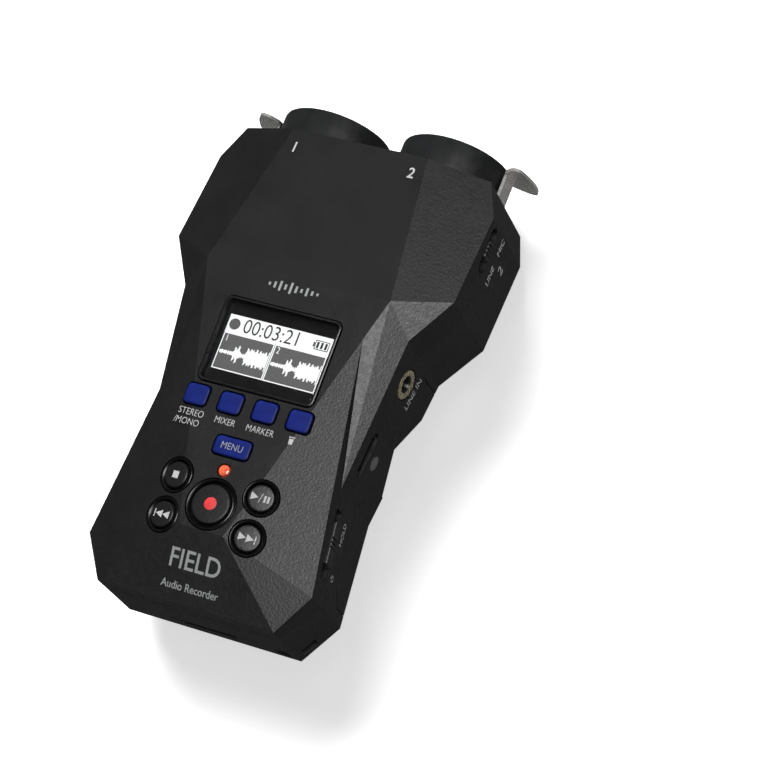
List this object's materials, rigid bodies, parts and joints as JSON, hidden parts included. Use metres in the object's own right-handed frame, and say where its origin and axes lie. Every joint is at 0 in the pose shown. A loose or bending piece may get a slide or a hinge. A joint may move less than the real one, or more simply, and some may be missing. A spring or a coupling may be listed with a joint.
{
  "type": "portable field recorder",
  "caption": "Handheld audio recorder with angular grip body, front display and transport keys, combination input jacks and sprung release levers at the top end.",
  "frame": {"origin": "on the plane of the flat back, below the centre of the bounding box", "axes": "+X to the right of the front, +Y towards the input jacks, +Z out of the display side"},
  "size_m": [0.0808, 0.137, 0.0437],
  "materials": {
    "housing": "fine-grained matte black moulded plastic",
    "gloss_black": "smooth black",
    "key": "satin black",
    "blue_key": "satin blue",
    "lens": "polished dark window",
    "lcd": "grey liquid-crystal panel",
    "lamp": "translucent red",
    "jack_core": "black moulded plastic",
    "nickel": "polished nickel-plated sheet",
    "steel": "zinc-plated steel",
    "gold": "gold-plated brass",
    "battery": "printed sleeve",
    "inner_plastic": "moulded plastic",
    "board": "green circuit board",
    "rubber": "dark silicone rubber",
    "card": "black plastic"
  },
  "bodies": {
    "housing": {"front_shell": "housing", "rear_shell": "housing", "screen_bezel": "gloss_black", "record_ring": "gloss_black", "stop_ring": "gloss_black", "play_ring": "gloss_black", "rewind_ring": "gloss_black", "forward_ring": "gloss_black", "jack_collar_left": "gloss_black", "jack_collar_right": "gloss_black", "screen_lens": "lens", "lcd_panel": "lcd", "record_lamp": "lamp", "jack_core_left": "jack_core", "jack_core_right": "jack_core", "capsule_connector": "jack_core", "speaker": "jack_core", "usb_port": "steel", "screw_1": "steel", "screw_2": "steel", "screw_3": "steel", "screw_4": "steel", "tripod_insert": "steel", "battery_contact_upper": "steel", "battery_contact_lower": "steel", "line_in_jack": "gold", "phones_jack": "gold", "battery_left": "battery", "battery_right": "battery", "battery_tray": "inner_plastic", "main_board": "board", "jack_board": "board", "keypad": "rubber"},
    "battery_cover": {"battery_cover": "housing"},
    "memory_card": {"memory_card": "card"},
    "power_switch": {"power_switch": "key"},
    "volume_rocker": {"volume_rocker": "key"},
    "gain_switch_left": {"gain_switch_left": "key"},
    "gain_switch_right": {"gain_switch_right": "key"},
    "release_tab_left": {"release_tab_left": "nickel"},
    "release_tab_right": {"release_tab_right": "nickel"},
    "function_button_1": {"function_button_1": "blue_key"},
    "function_button_2": {"function_button_2": "blue_key"},
    "function_button_3": {"function_button_3": "blue_key"},
    "function_button_4": {"function_button_4": "blue_key"},
    "menu_button": {"menu_button": "blue_key"},
    "record_button": {"record_button": "key"},
    "stop_button": {"stop_button": "key"},
    "rewind_button": {"rewind_button": "key"},
    "play_button": {"play_button": "key"},
    "forward_button": {"forward_button": "key"}
  },
  "joints": [
    {"name": "function_1_press", "type": "slide", "parent": "housing", "child": "function_button_1", "axis": [0, 0.0572, -0.9984], "range_m": [0, 0.0005], "stiffness_N_per_m": 1500},
    {"name": "function_2_press", "type": "slide", "parent": "housing", "child": "function_button_2", "axis": [0, 0.0572, -0.9984], "range_m": [0, 0.0005], "stiffness_N_per_m": 1500},
    {"name": "function_3_press", "type": "slide", "parent": "housing", "child": "function_button_3", "axis": [0, 0.0572, -0.9984], "range_m": [0, 0.0005], "stiffness_N_per_m": 1500},
    {"name": "function_4_press", "type": "slide", "parent": "housing", "child": "function_button_4", "axis": [0, 0.0572, -0.9984], "range_m": [0, 0.0005], "stiffness_N_per_m": 1500},
    {"name": "menu_press", "type": "slide", "parent": "housing", "child": "menu_button", "axis": [0, 0.0572, -0.9984], "range_m": [0, 0.0005], "stiffness_N_per_m": 1500},
    {"name": "record_press", "type": "slide", "parent": "housing", "child": "record_button", "axis": [0, 0.0572, -0.9984], "range_m": [0, 0.0005], "stiffness_N_per_m": 1500},
    {"name": "stop_press", "type": "slide", "parent": "housing", "child": "stop_button", "axis": [0.2069, 0.1143, -0.9717], "range_m": [0, 0.0005], "stiffness_N_per_m": 1500},
    {"name": "rewind_press", "type": "slide", "parent": "housing", "child": "rewind_button", "axis": [0.2069, 0.1143, -0.9717], "range_m": [0, 0.0005], "stiffness_N_per_m": 1500},
    {"name": "play_press", "type": "slide", "parent": "housing", "child": "play_button", "axis": [-0.2069, 0.1143, -0.9717], "range_m": [0, 0.0005], "stiffness_N_per_m": 1500},
    {"name": "forward_press", "type": "slide", "parent": "housing", "child": "forward_button", "axis": [-0.2069, 0.1143, -0.9717], "range_m": [0, 0.0005], "stiffness_N_per_m": 1500},
    {"name": "release_tab_left_press", "type": "slide", "parent": "housing", "child": "release_tab_left", "axis": [0, -1, 0], "range_m": [0, 0.0015], "stiffness_N_per_m": 900},
    {"name": "gain_switch_left_slide", "type": "slide", "parent": "housing", "child": "gain_switch_left", "axis": [0, 1, 0], "range_m": [-0.0026, 0.0026]},
    {"name": "release_tab_right_press", "type": "slide", "parent": "housing", "child": "release_tab_right", "axis": [0, -1, 0], "range_m": [0, 0.0015], "stiffness_N_per_m": 900},
    {"name": "gain_switch_right_slide", "type": "slide", "parent": "housing", "child": "gain_switch_right", "axis": [0, 1, 0], "range_m": [-0.0026, 0.0026]},
    {"name": "power_switch_slide", "type": "slide", "parent": "housing", "child": "power_switch", "axis": [-0.1382, 0.9904, 0], "range_m": [-0.0023, 0.0023]},
    {"name": "volume_rocker_hinge", "type": "hinge", "parent": "housing", "child": "volume_rocker", "pos_m": [-0.02714, -0.03741, 0.0296], "axis": [0, 0, 1], "range_deg": [-3, 3], "stiffness_Nm_per_rad": 0.05},
    {"name": "battery_cover_pull", "type": "slide", "parent": "housing", "child": "battery_cover", "axis": [0, 0, -1], "range_m": [0, 0.02]},
    {"name": "memory_card_slide", "type": "slide", "parent": "housing", "child": "memory_card", "axis": [0, -1, 0], "range_m": [0, 0.012]}
  ]
}
